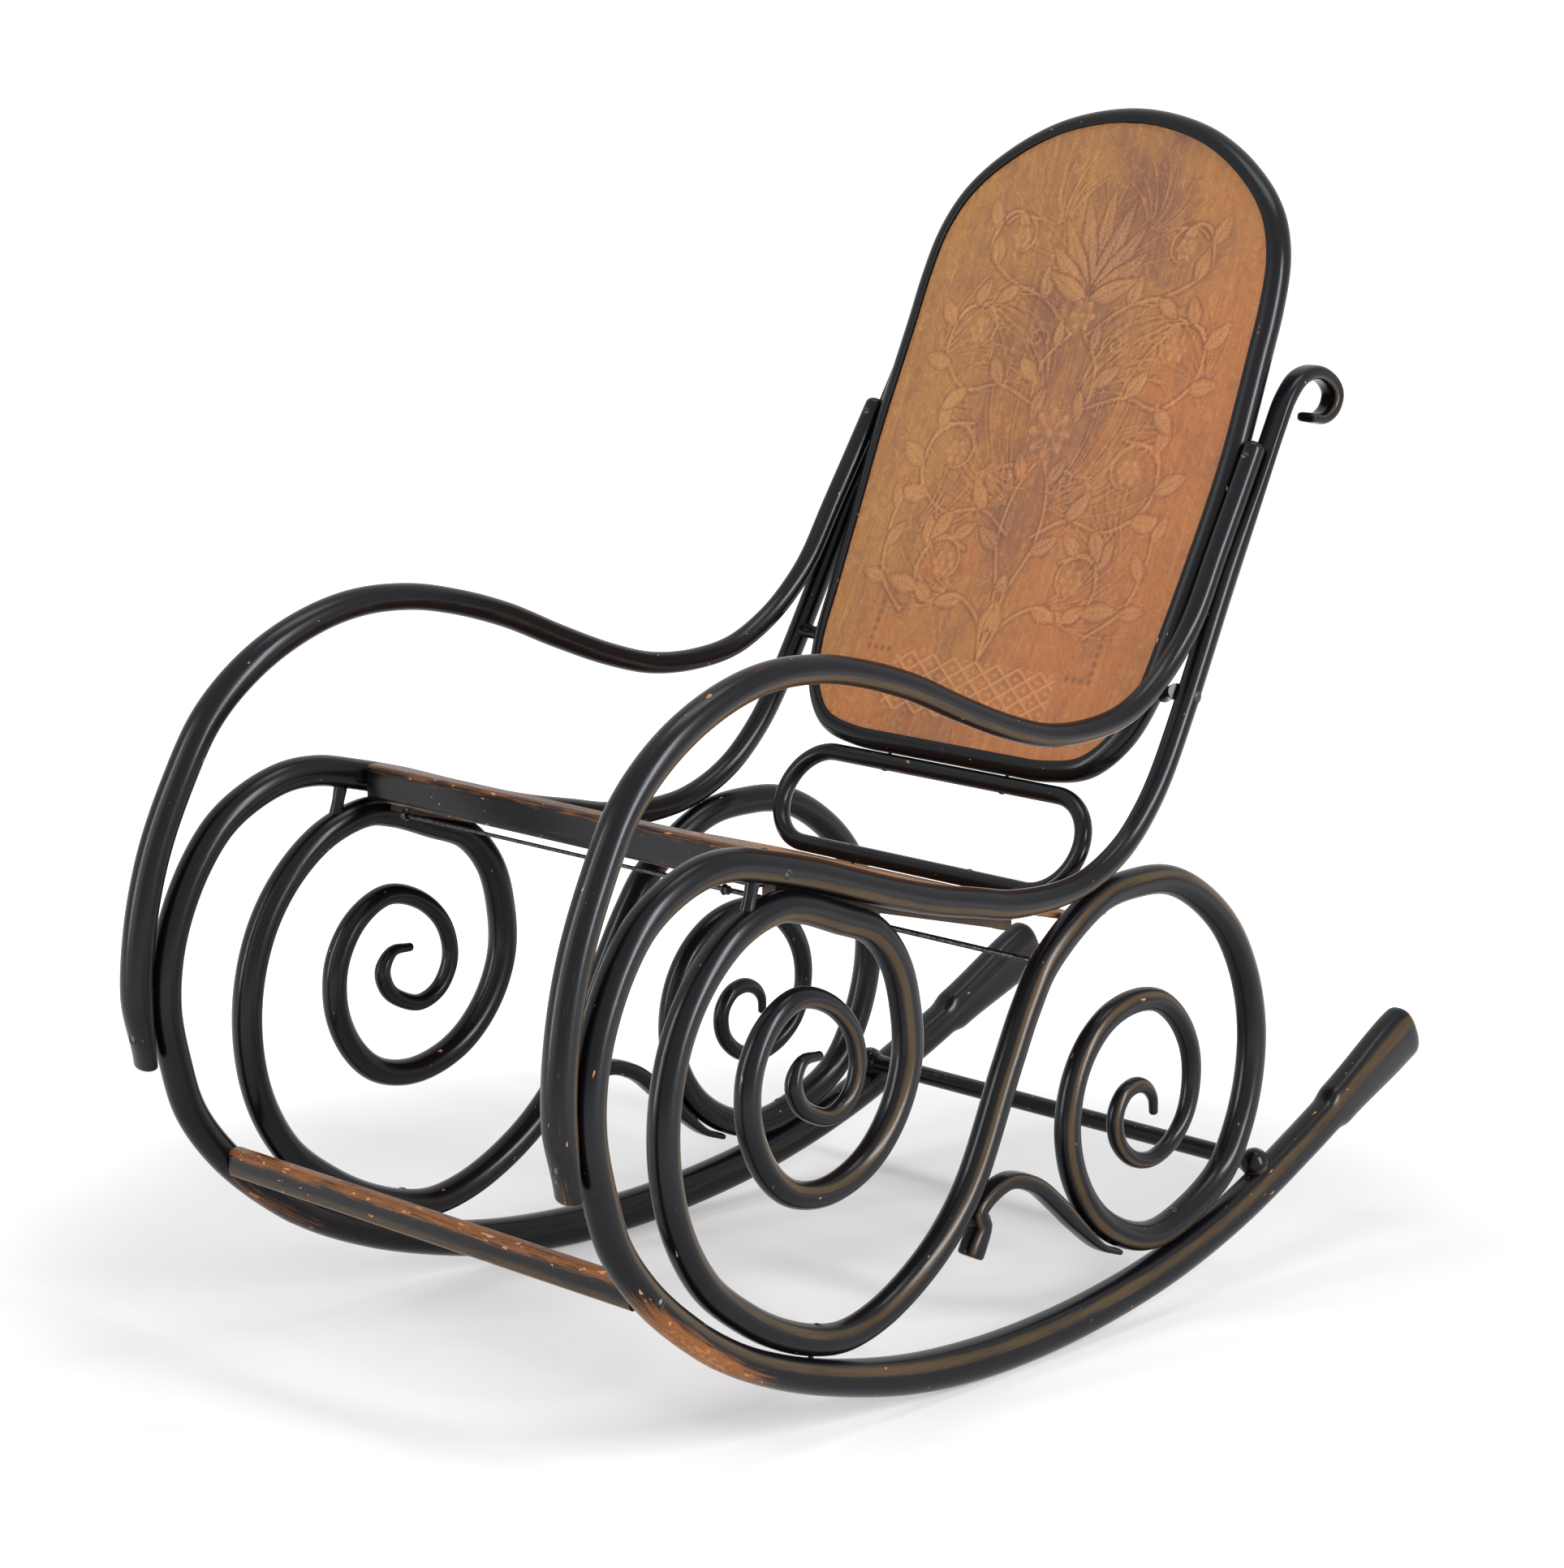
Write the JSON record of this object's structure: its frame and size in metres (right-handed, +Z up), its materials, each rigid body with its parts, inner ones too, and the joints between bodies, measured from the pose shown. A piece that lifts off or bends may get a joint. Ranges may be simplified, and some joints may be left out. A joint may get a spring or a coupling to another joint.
{
  "type": "bentwood rocking chair",
  "caption": "Rocking chair of round bent wood with a scroll frame on each side, bent armrests, an arched back with a plywood panel, a lumbar loop and long curved runners.",
  "frame": {"origin": "on the floor, under the middle of the bounding box", "axes": "+Z up, the sitter looks along -Y, the sitter's left hand is at +X"},
  "size_m": [0.56, 1.1148, 1.036],
  "materials": {
    "black_lacquer": "semi-gloss black lacquer, worn brown at edges",
    "worn_lacquer": "black lacquer worn through to brown wood",
    "tan_plywood": "satin tan plywood, pressed ornament",
    "plain_wood": "unfinished brown wood",
    "steel": "darkened steel"
  },
  "bodies": {
    "root": {"side_rod_left": "black_lacquer", "runner_left": "black_lacquer", "scroll_rod_left": "black_lacquer", "armrest_left": "black_lacquer", "runner_hook_left": "black_lacquer", "ring_spacer_left": "black_lacquer", "back_spacer_left": "black_lacquer", "side_rod_right": "black_lacquer", "runner_right": "black_lacquer", "scroll_rod_right": "black_lacquer", "armrest_right": "black_lacquer", "runner_hook_right": "black_lacquer", "ring_spacer_right": "black_lacquer", "back_spacer_right": "black_lacquer", "back_hoop": "black_lacquer", "lumbar_loop": "black_lacquer", "rear_stretcher": "black_lacquer", "seat_front_rail": "worn_lacquer", "foot_rail": "worn_lacquer", "back_panel": "tan_plywood", "seat_panel": "tan_plywood", "seat_rear_rail": "plain_wood", "seat_cleat_left": "plain_wood", "seat_cleat_right": "plain_wood", "front_tie_rod": "steel", "rear_tie_rod": "steel", "tie_eyelet_left": "steel", "ring_foot_screw_left": "steel", "rear_ring_top_screw_left": "steel", "rear_ring_foot_screw_left": "steel", "arm_lower_screw_left": "steel", "arm_upper_screw_left": "steel", "ring_top_screw_left": "steel", "hook_screw_left": "steel", "back_upper_screw_left": "steel", "back_lower_bolt_left": "steel", "foot_rail_screw_left": "steel", "front_rail_screw_left": "steel", "loop_top_screw_left": "steel", "loop_foot_screw_left": "steel", "stretcher_screw_left": "steel", "cleat_screw_left_1": "steel", "cleat_screw_left_2": "steel", "tie_eyelet_right": "steel", "ring_foot_screw_right": "steel", "rear_ring_top_screw_right": "steel", "rear_ring_foot_screw_right": "steel", "arm_lower_screw_right": "steel", "arm_upper_screw_right": "steel", "ring_top_screw_right": "steel", "hook_screw_right": "steel", "back_upper_screw_right": "steel", "back_lower_bolt_right": "steel", "foot_rail_screw_right": "steel", "front_rail_screw_right": "steel", "loop_top_screw_right": "steel", "loop_foot_screw_right": "steel", "stretcher_screw_right": "steel", "cleat_screw_right_1": "steel", "cleat_screw_right_2": "steel"}
  },
  "joints": []
}
